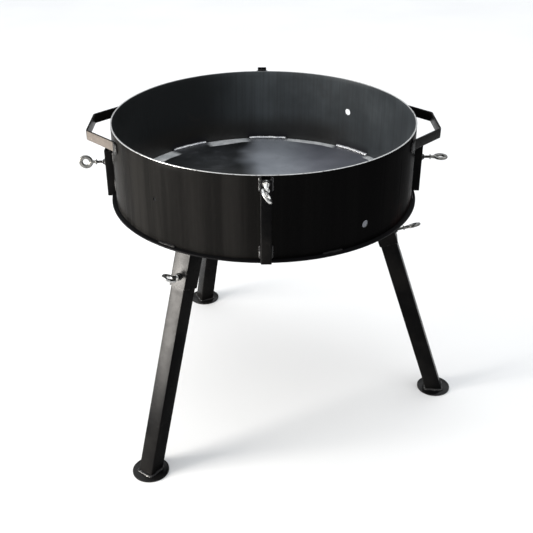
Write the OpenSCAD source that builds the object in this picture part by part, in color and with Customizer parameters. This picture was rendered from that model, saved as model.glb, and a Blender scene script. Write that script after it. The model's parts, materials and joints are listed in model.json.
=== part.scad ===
// Three-legged open coal hearth. A rolled steel drum stands on three splayed legs that
// slide out of sockets under the floor. Four square sockets on the drum's wall take
// accessory posts, and an eye screw clamps each post and each leg.
// Origin: on the ground, under the drum's axis. +Z is up, -Y is the front.

/* [Drum] */
// outer radius of the rolled shell
drum_r = 310; // [290:1:340]
// height of the rim above the ground
rim_z = 655; // [645:1:720]
// thickness of the shell and floor sheet
sheet_t = 3; // [2:0.5:5]
// height of the floor plate's upper face above the ground
floor_z = 490; // [486:1:494]
// how far the floor plate stands out beyond the shell
flange = 9; // [6:0.5:14]
// radius of the two larger round holes in the wall
hole_r = 7.5; // [4:0.5:12]
// radius of the small wall hole at the front left
small_hole_r = 3.25; // [2.5:0.25:5]
// depth of the rear wall hole below the rim
rear_hole_drop = 76; // [40:0.5:120]
// depth of the front left wall hole below the rim
left_hole_drop = 79; // [40:0.5:120]
// depth of the front right wall hole below the rim
right_hole_drop = 125.5; // [60:0.5:140]

/* [Legs] */
// lean of each leg from the vertical
leg_tilt = 19; // [15:0.5:21]
// distance from the drum's axis to where a leg's centre line meets the ground
foot_r = 402; // [380:1:410]
// direction of the first leg, seen from above
leg_first = -126.6; // [-150:0.1:-100]
// width of the square leg tube
leg_w = 35; // [25:1:50]
// width of the square leg socket
leg_socket_w = 40; // [30:1:60]
// wall of the square tubes
tube_wall = 2; // [1.5:0.5:4]
// height of the middle of a leg socket's lower end
leg_socket_z = 380; // [340:1:388]
// height of the leg nuts
leg_nut_z = 401; // [398:1:440]
// radius of the round foot plates
foot_plate_r = 37.5; // [25:0.5:60]
// thickness of the foot plates
foot_plate_t = 3; // [2:0.5:6]

/* [Accessory sockets] */
// width of the square sockets on the wall
socket_w = 20; // [16:1:30]
// length of the side sockets
side_socket_l = 101; // [80:1:140]
// height of the right socket's lower end
right_socket_z = 489.5; // [480:0.5:500]
// height of the left socket's lower end
left_socket_z = 482.5; // [475:0.5:500]
// height that the back socket stands above the rim
back_socket_up = 3; // [0:0.5:10]
// height of the front socket's nut below its top
front_nut_drop = 7; // [7:0.5:60]
// height of the other sockets' nuts below their tops
other_nut_drop = 28; // [12:1:60]

/* [Eye screws] */
// outer radius of the threaded shank
thread_r = 2.95; // [2:0.05:5]
// distance between neighbouring thread crests
thread_pitch = 1; // [0.5:0.25:2]
// radius of the flat eye's centre line
eye_r = 10.6; // [8:0.1:16]
// thickness of the flat eye
eye_t = 5.6; // [3:0.2:8]
// radius of the thin collar
collar_r = 5.6; // [4:0.1:9]
// width across the flats of a nut
nut_af = 10; // [8:1:17]
// thickness of a nut
nut_t = 5; // [4:0.5:10]

/* [Handles] */
// height of the flat bar's wide face
bar_h = 20; // [12:1:30]
// thickness of the flat bar
bar_t = 4; // [3:0.5:8]
// distance from the drum's axis to the grip's outer face
grip_x = 355; // [350:1:380]
// half length of the grip's straight part
grip_half = 45; // [35:1:55]
// height of the rim above the handles' upper edge
handle_drop = 12; // [5:1:60]

/* [Hidden] */
$fn = 96;
cut = 0.5;
black = [0.07, 0.07, 0.07];
zinc = [0.72, 0.73, 0.74];
steel = [0.55, 0.56, 0.58];
inner_r = drum_r - sheet_t;
floor_under = floor_z - sheet_t;
notch_gap = 0.5;
seam_w = 2.4;
seam_bead_w = 5;
stitch_az = [-38, 0, 37.5, 78.5, 115.5, 157, 199, 241, 282];
stitch_turn = 18;
fillet = 4;
// Accessory sockets in the order front, right, back, left.
socket_az = [-90, 0, 90, 180];
tall_socket_l = rim_z - floor_z;
socket_low = [floor_z, right_socket_z, floor_z + back_socket_up, left_socket_z];
socket_l = [tall_socket_l, side_socket_l, tall_socket_l, side_socket_l];
nut_drop = [front_nut_drop, other_nut_drop, other_nut_drop, other_nut_drop];
// How far each eye's centre stands out from its socket, and how far it is turned.
socket_eye_out = [51, 40, 40, 41];
socket_eye_turn = [-55, 0, 15, 90];
leg_az = [leg_first, leg_first + 120, leg_first + 240];
leg_eye_out = [29.5, 41, 29.5];
leg_eye_turn = [-12, -16, 10];
screw_hole_r = thread_r + 0.35;
nut_bore_r = thread_r + 0.05;
collar_back = eye_r + 12.4;
neck_r = 3.2;
nut_bead_r = 8;
leg_top = (floor_under - 0.6) / cos(leg_tilt) - leg_w / 2 * tan(leg_tilt);
leg_nut_up = leg_nut_z / cos(leg_tilt);
// The handle's bends, seen from above.
bend_in = 6;
leg_turn = 44;
tab_turn = 21;
tab_l = 13;
bend_x = grip_x - bar_t - bend_in;
bend_sum = 2 * bend_in + bar_t;
tab_reach = drum_r + bar_t + bend_in;
bend_reach = bend_x * cos(tab_turn) + grip_half * sin(tab_turn);
arm_l = (bend_reach + bend_sum * cos(leg_turn - tab_turn) - tab_reach) / sin(leg_turn - tab_turn);
handle_z = rim_z - handle_drop - bar_h;
tab_bend = [
    bend_x + bend_sum * cos(leg_turn) - arm_l * sin(leg_turn),
    grip_half + bend_sum * sin(leg_turn) + arm_l * cos(leg_turn)
];
tab_end = [
    tab_bend.x - (bend_in + bar_t) * cos(tab_turn) - tab_l * sin(tab_turn),
    tab_bend.y - (bend_in + bar_t) * sin(tab_turn) + tab_l * cos(tab_turn)
];

// A square tube standing on the origin, centred on its axis.
module square_tube(w, wall, l) {
    difference() {
        translate([-w / 2, -w / 2, 0]) cube([w, w, l]);
        translate([-w / 2 + wall, -w / 2 + wall, -cut]) cube([w - 2 * wall, w - 2 * wall, l + 2 * cut]);
    }
}

// A fillet of weld along +Z in the corner of the planes x = 0 and y = 0, run on below x = 0.
module weld_strip(l) {
    linear_extrude(l) polygon([[-1.5, 0], [3.4, 0], [3, 1.5], [1.9, 2.7], [0.5, 3.3], [-1.5, 3.5]]);
}

// Frame of accessory socket i: +X points outwards from the shell's outer surface.
module at_socket(i) {
    rotate([0, 0, socket_az[i]]) translate([drum_r, 0, 0]) children();
}

// Frame of leg i: +Z runs up the leg from the ground, +X is the outer face's normal.
module at_leg(i) {
    rotate([0, 0, leg_az[i]]) translate([foot_r, 0, 0]) rotate([0, -leg_tilt, 0]) children();
}

// Frame of the outer face at the nut of accessory socket i.
module at_socket_nut(i) {
    at_socket(i) translate([socket_w, 0, socket_low[i] + socket_l[i] - nut_drop[i]]) children();
}

// Frame of the outer face at the nut of leg socket i.
module at_leg_nut(i) {
    at_leg(i) translate([leg_socket_w / 2, 0, leg_nut_up]) children();
}

// The floor is a flat disc under the shell, notched where the two side sockets pass its edge.
module floor_plate() {
    color(black) difference() {
        translate([0, 0, floor_under]) cylinder(h = sheet_t, r = drum_r + flange, $fn = 180);
        for (i = [1, 3]) at_socket(i) translate([-notch_gap, 0, 0])
            socket_notch(socket_w + 2 * notch_gap);
    }
}

module socket_notch(w) {
    translate([0, -w / 2, floor_under - cut]) cube([w, w, sheet_t + 2 * cut]);
}

// The shell is one rolled strip, open at the seam behind the back socket.
module drum_shell() {
    color(black) difference() {
        translate([0, 0, floor_z]) cylinder(h = rim_z - floor_z, r = drum_r, $fn = 180);
        translate([0, 0, floor_z - cut]) cylinder(h = rim_z - floor_z + 2 * cut, r = inner_r, $fn = 180);
        translate([-seam_w / 2, 0, floor_z - cut]) cube([seam_w, drum_r + 1, rim_z - floor_z + 2 * cut]);
        wall_hole(50, rear_hole_drop, hole_r);
        wall_hole(-131.4, left_hole_drop, small_hole_r);
        wall_hole(-53.1, right_hole_drop, hole_r);
    }
}

module wall_hole(az, drop, r) {
    rotate([0, 0, az]) translate([inner_r - 10, 0, rim_z - drop]) rotate([0, 90, 0])
        cylinder(h = 20, r = r);
}

// Butt weld in the seam: flush outside, proud inside.
module seam_weld() {
    color(black) union() {
        seam_strip(inner_r, drum_r, seam_w, floor_z, rim_z);
        seam_strip(inner_r - 0.8, inner_r, seam_bead_w, floor_z + 8, rim_z - 2);
    }
}

module seam_strip(r_in, r_out, w, z_low, z_high) {
    difference() {
        intersection() {
            translate([0, 0, z_low]) cylinder(h = z_high - z_low, r = r_out, $fn = 180);
            translate([-w / 2, 0, z_low]) cube([w, r_out + 1, z_high - z_low]);
        }
        translate([0, 0, z_low - cut]) cylinder(h = z_high - z_low + 2 * cut, r = r_in, $fn = 180);
    }
}

// Nine stitch welds inside, in the corner between the floor plate and the wall.
module floor_welds_inside() {
    color(steel) for (az = stitch_az)
        rotate([0, 0, az]) rotate_extrude(angle = stitch_turn, $fn = 180) polygon([
            [inner_r, floor_z],
            [inner_r, floor_z + 4.5],
            [inner_r - 2, floor_z + 3.6],
            [inner_r - 3.6, floor_z + 2],
            [inner_r - 4.5, floor_z]
        ]);
}

// Six short stitch welds outside, between the wall and the floor plate's flange.
module floor_welds_outside() {
    color(black) for (k = [0 : 5])
        rotate([0, 0, leg_first + 60 * k - 4]) rotate_extrude(angle = 8, $fn = 180) polygon([
            [drum_r, floor_z],
            [drum_r, floor_z + 4],
            [drum_r + 1.8, floor_z + 3.2],
            [drum_r + 3.2, floor_z + 1.8],
            [drum_r + 4, floor_z]
        ]);
}

module wall_socket(i) {
    color(black) difference() {
        at_socket(i) translate([socket_w / 2, 0, socket_low[i]])
            square_tube(socket_w, tube_wall, socket_l[i]);
        at_socket_nut(i) translate([-tube_wall - cut, 0, 0]) rotate([0, 90, 0])
            cylinder(h = tube_wall + 2 * cut, r = screw_hole_r);
    }
}

// A short bead at both ends of both edges where each socket meets the shell.
module socket_welds() {
    color(black) difference() {
        for (i = [0 : 3], side = [0, 1])
            for (z = [max(socket_low[i], floor_z) + 2, socket_low[i] + socket_l[i] - 30])
                at_socket(i) mirror([0, side, 0]) translate([0, socket_w / 2, z]) weld_strip(28);
        cylinder(h = rim_z + 20, r = drum_r, $fn = 180);
    }
}

// Plain hexagon nut on the face x = 0 with its bore along +X.
module nut() {
    difference() {
        intersection() {
            rotate([0, 90, 0]) cylinder(h = nut_t, r = nut_af / 2 / cos(30), $fn = 6);
            rotate([0, 90, 0]) cylinder(h = nut_t, r1 = nut_af / 2 + 4, r2 = nut_af / 2, $fn = 48);
        }
        translate([-cut, 0, 0]) rotate([0, 90, 0]) cylinder(h = nut_t + 2 * cut, r = nut_bore_r, $fn = 48);
    }
}

module socket_nuts() {
    color(zinc) for (i = [0 : 3]) at_socket_nut(i) nut();
}

module leg_nuts() {
    color(black) for (i = [0 : 2]) at_leg_nut(i) nut();
}

// Fillet of weld around the foot of a nut.
module nut_bead() {
    difference() {
        rotate([0, 90, 0]) cylinder(h = 2.4, r1 = nut_bead_r, r2 = nut_af / 2 + 0.4, $fn = 48);
        translate([-cut, 0, 0]) rotate([0, 90, 0]) cylinder(h = nut_t, r = nut_af / 2 / cos(30), $fn = 6);
    }
}

module nut_welds() {
    color(black) for (i = [0 : 3]) at_socket_nut(i) nut_bead();
    color(black) for (i = [0 : 2]) at_leg_nut(i) nut_bead();
}

// Half of a handle seen from above, as points on the bar's inner face with its direction.
half_handle = concat(
    [for (k = [0 : 8]) let(a = leg_turn * k / 8)
        [bend_x + bend_in * cos(a), grip_half + bend_in * sin(a), a]],
    [for (k = [0 : 5]) let(a = leg_turn - (leg_turn - tab_turn) * k / 5)
        [tab_bend.x - (bend_in + bar_t) * cos(a), tab_bend.y - (bend_in + bar_t) * sin(a), a]],
    [[tab_end.x, tab_end.y, tab_turn]]
);
handle_points = concat(
    [for (i = [len(half_handle) - 1 : -1 : 0]) half_handle[i]],
    [for (p = half_handle) [p.x, -p.y, -p[2]]]
);

// One flat bar bent into a grip, two arms and two tabs that lie against the shell.
module handle(side) {
    color(black) translate([0, 0, handle_z]) mirror([side < 0 ? 1 : 0, 0, 0])
        linear_extrude(bar_h) polygon(concat(
            [for (p = handle_points) [p.x + bar_t * cos(p[2]), p.y + bar_t * sin(p[2])]],
            [for (i = [len(handle_points) - 1 : -1 : 0]) [handle_points[i].x, handle_points[i].y]]
        ));
}

// Frame of a handle tab's far lower corner against the shell: +Y runs along the tab.
module at_tab(side, end) {
    mirror([side < 0 ? 1 : 0, 0, 0]) mirror([0, end < 0 ? 1 : 0, 0])
        translate([tab_end.x, tab_end.y, handle_z]) rotate([0, 0, tab_turn]) children();
}

// Each tab is welded along its far end and along its lower edge.
module handle_welds() {
    color(black) difference() {
        for (side = [-1, 1], end = [-1, 1]) at_tab(side, end) {
            translate([0, 0, 1]) weld_strip(bar_h - 2);
            translate([0, -3, 0]) mirror([0, 0, 1]) rotate([90, 0, 0]) weld_strip(tab_l - 7);
        }
        cylinder(h = rim_z + 20, r = drum_r, $fn = 180);
    }
}

// The leg socket is cut off level where it meets the floor plate.
module leg_socket(i) {
    color(black) difference() {
        at_leg(i) translate([0, 0, leg_socket_z / cos(leg_tilt)]) square_tube(leg_socket_w, tube_wall, 160);
        translate([0, 0, floor_under + 50]) cube([1200, 1200, 100], center = true);
        at_leg_nut(i) translate([-tube_wall - cut, 0, 0]) rotate([0, 90, 0])
            cylinder(h = tube_wall + 2 * cut, r = screw_hole_r);
    }
}

// Mitred fillet where a leaning square tube of width w meets the level plane z.
module tube_fillet(i, w, z, below) {
    mid = foot_r - z * tan(leg_tilt);
    half = w / 2 / cos(leg_tilt);
    shift = (below ? 1 : -1) * fillet * tan(leg_tilt);
    rotate([0, 0, leg_az[i]]) translate([mid, 0, z]) mirror([0, 0, below ? 1 : 0]) intersection() {
        fillet_prism(half, shift);
        rotate([0, 0, 90]) fillet_prism(w / 2, 0);
    }
}

// Bar along Y with sloping sides, half wide plus the fillet, whose top is moved by shift.
module fillet_prism(half, shift) {
    rotate([90, 0, 0]) linear_extrude(120, center = true) polygon([
        [-half - fillet + min(shift, 0), 0],
        [half + fillet + max(shift, 0), 0],
        [half + 0.5 + shift, fillet],
        [-half - 0.5 + shift, fillet]
    ]);
}

module leg_socket_welds() {
    color(black) for (i = [0 : 2]) difference() {
        tube_fillet(i, leg_socket_w, floor_under, true);
        at_leg(i) translate([-leg_socket_w / 2, -leg_socket_w / 2, 300])
            cube([leg_socket_w, leg_socket_w, 260]);
    }
}

// The leg is a square tube, cut level on its foot plate and square at its top.
module leg_tube(i) {
    color(black) difference() {
        at_leg(i) translate([0, 0, -40]) square_tube(leg_w, tube_wall, leg_top + 40);
        translate([0, 0, foot_plate_t - 50]) cube([1200, 1200, 100], center = true);
    }
}

module foot_plate(i) {
    color(black) rotate([0, 0, leg_az[i]]) translate([foot_r - foot_plate_t * tan(leg_tilt), 0, 0])
        cylinder(h = foot_plate_t, r = foot_plate_r);
}

module foot_weld(i) {
    color(black) difference() {
        tube_fillet(i, leg_w, foot_plate_t, false);
        at_leg(i) translate([-leg_w / 2, -leg_w / 2, -40]) cube([leg_w, leg_w, 140]);
    }
}

// Eye screw along +X. The eye's centre is at x = out and the thread ends at x = tip.
module eye_screw(out, tip, turn) {
    thread_l = out - collar_back - tip;
    turns = floor((thread_l - 1.5) / thread_pitch);
    root_r = thread_r - 0.45;
    color(zinc) rotate([turn, 0, 0]) union() {
        translate([tip, 0, 0]) rotate([0, 90, 0]) rotate_extrude($fn = 48) polygon(concat(
            [[0, 0], [root_r - 0.3, 0]],
            [for (k = [0 : turns - 1], e = [0, 1])
                [e == 0 ? root_r : thread_r, 0.3 + (k + e * 0.5) * thread_pitch]],
            [[root_r, 0.3 + turns * thread_pitch], [root_r, thread_l + 1], [0, thread_l + 1]]
        ));
        translate([out - collar_back, 0, 0]) rotate([0, 90, 0]) cylinder(h = 2, r = collar_r, $fn = 48);
        translate([out - collar_back + 1, 0, 0]) rotate([0, 90, 0])
            cylinder(h = collar_back - eye_r, r = neck_r, $fn = 48);
        translate([out, 0, 0]) rotate_extrude($fn = 64) {
            translate([eye_r - 1.5, -eye_t / 2]) square([3, eye_t]);
            translate([eye_r - 1.5, 0]) circle(r = eye_t / 2, $fn = 32);
            translate([eye_r + 1.5, 0]) circle(r = eye_t / 2, $fn = 32);
        }
    }
}

module socket_eye_screw(i) {
    at_socket_nut(i) eye_screw(socket_eye_out[i], -tube_wall + 0.2, socket_eye_turn[i]);
}

module leg_eye_screw(i) {
    at_leg_nut(i) eye_screw(leg_eye_out[i], -tube_wall - 0.35, leg_eye_turn[i]);
}

floor_plate();
drum_shell();
seam_weld();
floor_welds_inside();
floor_welds_outside();
wall_socket(0);  // socket_front
wall_socket(1);  // socket_right
wall_socket(2);  // socket_back
wall_socket(3);  // socket_left
socket_welds();
socket_nuts();
leg_nuts();
nut_welds();
handle(-1);  // handle_left
handle(1);  // handle_right
handle_welds();
leg_socket(0);  // leg_socket_front_left
leg_socket(1);  // leg_socket_right
leg_socket(2);  // leg_socket_rear
leg_socket_welds();
leg_tube(0);  // leg_tube_front_left
foot_plate(0);  // foot_plate_front_left
foot_weld(0);  // foot_weld_front_left
leg_tube(1);  // leg_tube_right
foot_plate(1);  // foot_plate_right
foot_weld(1);  // foot_weld_right
leg_tube(2);  // leg_tube_rear
foot_plate(2);  // foot_plate_rear
foot_weld(2);  // foot_weld_rear
socket_eye_screw(0);  // eye_screw_front
socket_eye_screw(1);  // eye_screw_right
socket_eye_screw(2);  // eye_screw_back
socket_eye_screw(3);  // eye_screw_left
leg_eye_screw(0);  // eye_screw_leg_front_left
leg_eye_screw(1);  // eye_screw_leg_right
leg_eye_screw(2);  // eye_screw_leg_rear
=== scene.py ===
import json
import math
import random

import bmesh
import bpy
from mathutils import Matrix, Vector, noise


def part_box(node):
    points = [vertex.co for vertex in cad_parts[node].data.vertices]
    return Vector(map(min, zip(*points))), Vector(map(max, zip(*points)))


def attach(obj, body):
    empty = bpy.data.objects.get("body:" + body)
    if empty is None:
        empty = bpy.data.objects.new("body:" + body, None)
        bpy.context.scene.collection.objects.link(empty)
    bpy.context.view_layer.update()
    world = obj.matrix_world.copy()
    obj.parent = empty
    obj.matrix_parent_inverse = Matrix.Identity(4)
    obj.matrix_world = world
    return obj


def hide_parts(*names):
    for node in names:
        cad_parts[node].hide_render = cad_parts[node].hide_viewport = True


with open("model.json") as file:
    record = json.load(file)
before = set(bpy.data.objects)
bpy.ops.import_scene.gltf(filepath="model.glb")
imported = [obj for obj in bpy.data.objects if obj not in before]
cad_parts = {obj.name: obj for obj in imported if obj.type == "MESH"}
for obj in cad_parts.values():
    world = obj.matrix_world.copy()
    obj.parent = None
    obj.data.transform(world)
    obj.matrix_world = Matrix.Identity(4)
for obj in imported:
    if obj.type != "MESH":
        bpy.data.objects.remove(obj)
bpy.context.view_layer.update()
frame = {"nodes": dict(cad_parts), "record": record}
scene = bpy.context.scene

# ---------------------------------------------------------------- places, all from the frame

shell_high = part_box("drum_shell")[1]
plate_low, plate_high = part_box("floor_plate")
DRUM_R = shell_high.x
RIM_Z = shell_high.z
SHEET = 0.003
INNER_R = DRUM_R - SHEET
PLATE_R = plate_high.y
FLOOR_Z = plate_high.z
UNDER_Z = plate_low.z
LEG_AZ = {"front_left": math.radians(-126.6), "right": math.radians(-6.6), "rear": math.radians(113.4)}
SOCKET_AZ = {"front": math.radians(-90), "right": 0.0, "back": math.radians(90), "left": math.radians(180)}
TILT = math.radians(19)
FOOT_R = 0.402
LEG_W = 0.035
LEG_SOCKET_W = 0.040
LEG_MOUTH_Z = 0.380
LEG_NUT_Z = 0.401
LEG_TOP_GAP = 0.0006
FOOT_T = 0.003
SOCKET_W = 0.020
WALL = 0.002
BAR_T = 0.004
NUT_DROP = {"front": 0.007, "right": 0.028, "back": 0.028, "left": 0.028}
SCREW_HOLE_R = 0.0033
THREAD_R = 0.00295
THREAD_PITCH = 0.001
# Where the nine stitch welds inside start, in degrees, and how far each one runs.
STITCHES = (-38, 0, 37.5, 78.5, 115.5, 157, 199, 241, 282)
STITCH_TURN = 18


def spin(angle):
    return Matrix.Rotation(angle, 4, "Z")


def leg_frame(name):
    """+Z runs up the leg from the ground, +X is the outer face's normal."""
    return spin(LEG_AZ[name]) @ Matrix.Translation((FOOT_R, 0, 0)) @ Matrix.Rotation(-TILT, 4, "Y")


def socket_frame(name):
    """+X points outwards from the shell's outer surface."""
    return spin(SOCKET_AZ[name]) @ Matrix.Translation((DRUM_R, 0, 0))


def screw_frames():
    """+X runs out along each screw from the face its nut is welded to."""
    out = {}
    for name in SOCKET_AZ:
        nut_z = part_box("socket_" + name)[1].z - NUT_DROP[name]
        out[name] = socket_frame(name) @ Matrix.Translation((SOCKET_W, 0, nut_z))
    for name in LEG_AZ:
        up = LEG_NUT_Z / math.cos(TILT)
        out["leg_" + name] = leg_frame(name) @ Matrix.Translation((LEG_SOCKET_W / 2, 0, up))
    return out


# ---------------------------------------------------------------- mesh helpers


def piece(name, verts, faces, body, material, smooth=35.0):
    """A mesh piece that rides on a body, shaded smooth apart from edges sharper than the angle."""
    mesh = bpy.data.meshes.new(name)
    mesh.from_pydata([tuple(v) for v in verts], [], faces)
    finish_mesh(mesh, smooth)
    obj = add_object(name, mesh)
    mesh.materials.append(material)
    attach(obj, body)
    return obj


def add_object(name, data):
    obj = bpy.data.objects.new(name, data)
    scene.collection.objects.link(obj)
    return obj


def finish_mesh(mesh, smooth=35.0):
    bm = bmesh.new()
    bm.from_mesh(mesh)
    bmesh.ops.recalc_face_normals(bm, faces=bm.faces)
    bm.to_mesh(mesh)
    bm.free()
    for poly in mesh.polygons:
        poly.use_smooth = True
    mesh.set_sharp_from_angle(angle=math.radians(smooth))
    mesh.update()


def bake(obj):
    """Turns an object's modifiers into its mesh for good."""
    bpy.context.view_layer.update()
    done = bpy.data.meshes.new_from_object(obj.evaluated_get(bpy.context.evaluated_depsgraph_get()))
    obj.modifiers.clear()
    obj.data = done
    return done


def grid_faces(rows, cols, close_rows, close_cols, start=0):
    """Quads over a grid of rows by cols vertices, wrapped where it closes on itself."""
    faces = []
    for i in range(rows if close_rows else rows - 1):
        for j in range(cols if close_cols else cols - 1):
            a = start + i * cols + j
            b = start + i * cols + (j + 1) % cols
            c = start + ((i + 1) % rows) * cols + (j + 1) % cols
            d = start + ((i + 1) % rows) * cols + j
            faces.append((a, b, c, d))
    return faces


def lathe(profile, segments, warp=None):
    """Closed solid of revolution of a closed (r, z) profile. Points with r 0 share a vertex."""
    verts, faces, rings = [], [], []
    for r, z in profile:
        if r < 1e-7:
            rings.append([len(verts)])
            verts.append(Vector((0, 0, z)))
        else:
            rings.append(range(len(verts), len(verts) + segments))
            for k in range(segments):
                a = 2 * math.pi * k / segments
                verts.append(Vector((r * math.cos(a), r * math.sin(a), z)))
    for ring, after in zip(rings, rings[1:] + rings[:1]):
        for k in range(segments):
            m = (k + 1) % segments
            if len(ring) == 1 and len(after) == 1:
                continue
            if len(ring) == 1:
                faces.append((ring[0], after[k], after[m]))
            elif len(after) == 1:
                faces.append((ring[k], after[0], ring[m]))
            else:
                faces.append((ring[k], after[k], after[m], ring[m]))
    if warp:
        verts = [warp(v) for v in verts]
    return verts, faces


def rounded_box(w, h, r, steps=5):
    """Outline of a rectangle w wide and h high with rounded corners, anticlockwise."""
    out = []
    for k, (cx, cy) in enumerate(((1, 1), (-1, 1), (-1, -1), (1, -1))):
        for j in range(steps + 1):
            a = math.pi / 2 * (k + j / steps)
            out.append((cx * (w / 2 - r) + r * math.cos(a), cy * (h / 2 - r) + r * math.sin(a)))
    return out


def tube(name, place, w, low, high, body, material, corner=0.0026, seed=0):
    """Square tube with rounded corners and softened ends. low and high give the ends at (x, y)."""
    e = 0.0004
    bore, bore_corner = w - 2 * WALL, 0.0009
    outside = rounded_box(w, w, corner)
    eased_out = rounded_box(w - 2 * e, w - 2 * e, corner - e)
    inside = rounded_box(bore, bore, bore_corner)
    eased_in = rounded_box(bore + 2 * e, bore + 2 * e, bore_corner + e)
    stations = [(eased_out, 0.0, 0.0), (outside, 0.0, e)]
    count = 12
    for k in range(1, count):
        stations.append((outside, k / count, 0.0))
    stations += [(outside, 1.0, -e), (eased_out, 1.0, 0.0), (eased_in, 1.0, 0.0)]
    stations += [(inside, 1.0, -e), (inside, 0.0, e), (eased_in, 0.0, 0.0)]
    verts = []
    for outline, t, shift in stations:
        for x, y in outline:
            a, b = low(x, y), high(x, y)
            p = Vector((x, y, a + (b - a) * t + shift))
            if outline is outside and 0 < t < 1:
                dent = 0.00012 * noise.noise(Vector((x * 40 + seed, y * 40, p.z * 14)))
                p.x += dent * (1 if x > 0 else -1) - 0.00006
                p.y += dent * (1 if y > 0 else -1) * 0.5
            verts.append(place @ p)
    cols = len(outside)
    return piece(name, verts, grid_faces(len(stations), cols, True, True), body, material)


def bead(points, width, height, rng, pitch=0.0021, closed=False, up=None):
    """Verts and faces of a weld bead along points, with the overlapping ripples of its puddles.

    up gives the direction of the bead's crown at each point. The ends are rounded off.
    """
    step = pitch / 5
    rows = resample(points, up, step, closed)
    total = len(rows)
    sides = 14
    verts = []
    offset = rng.uniform(0, 50)
    for i, (p, tangent, crown) in enumerate(rows):
        side = tangent.cross(crown).normalized()
        phase = (i * step / pitch + 0.18 * noise.noise(Vector((i * 0.11, offset, 0)))) % 1.0
        ripple = 0.10 * (phase ** 0.6 - 0.55)
        swell = 0.13 * noise.noise(Vector((i * 0.035, offset, 3)))
        drift = 0.10 * width * noise.noise(Vector((i * 0.05, offset, 9)))
        size = 1 + ripple + swell
        if not closed:
            end = min(i, total - 1 - i) * step / (0.5 * width)
            if end < 1:
                size *= math.sqrt(max(1 - (1 - end) ** 2, 0.02))
        for k in range(sides):
            a = 2 * math.pi * k / sides
            w = 0.5 * width * size * math.cos(a)
            h = height * size * math.sin(a)
            lump = 1 + 0.03 * noise.noise(Vector((i * 0.3, k * 0.8, offset)))
            back = tangent * (0.16 * width * (math.cos(a) ** 2 - 0.5))
            verts.append(p + side * (w * lump + drift) + crown * (h * lump) - back)
    faces = grid_faces(total, sides, closed, True)
    if not closed:
        for row, flip in ((0, True), (total - 1, False)):
            ring = [row * sides + k for k in range(sides)]
            faces.append(tuple(reversed(ring)) if flip else tuple(ring))
    return verts, faces


def resample(points, up, step, closed):
    """(point, tangent, crown) at even steps along a polyline."""
    pts = [Vector(p) for p in points]
    ups = [Vector(u) for u in up] if isinstance(up, list) else [Vector(up)] * len(pts)
    if closed:
        pts, ups = pts + pts[:1], ups + ups[:1]
    lengths = [(b - a).length for a, b in zip(pts, pts[1:])]
    total = sum(lengths)
    count = max(int(total / step), 6)
    out = []
    seg, run = 0, 0.0
    for i in range(count if closed else count + 1):
        s = total * i / count
        while seg < len(lengths) - 1 and s > run + lengths[seg]:
            run += lengths[seg]
            seg += 1
        t = (s - run) / max(lengths[seg], 1e-9)
        p = pts[seg].lerp(pts[seg + 1], min(t, 1.0))
        crown = ups[seg].lerp(ups[seg + 1], min(t, 1.0))
        out.append([p, None, crown])
    n = len(out)
    for i in range(n):
        a = out[(i - 1) % n][0] if closed or i > 0 else out[0][0]
        b = out[(i + 1) % n][0] if closed or i < n - 1 else out[-1][0]
        tangent = (b - a).normalized()
        crown = out[i][2] - tangent * out[i][2].dot(tangent)
        out[i][1], out[i][2] = tangent, crown.normalized()
    return out


class Heap:
    """Gathers several closed shapes into one piece."""

    def __init__(self):
        self.verts, self.faces = [], []

    def add(self, shape, place=None):
        verts, faces = shape
        start = len(self.verts)
        self.verts += [place @ v if place else v for v in verts]
        self.faces += [tuple(start + i for i in f) for f in faces]


# ---------------------------------------------------------------- materials


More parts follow.
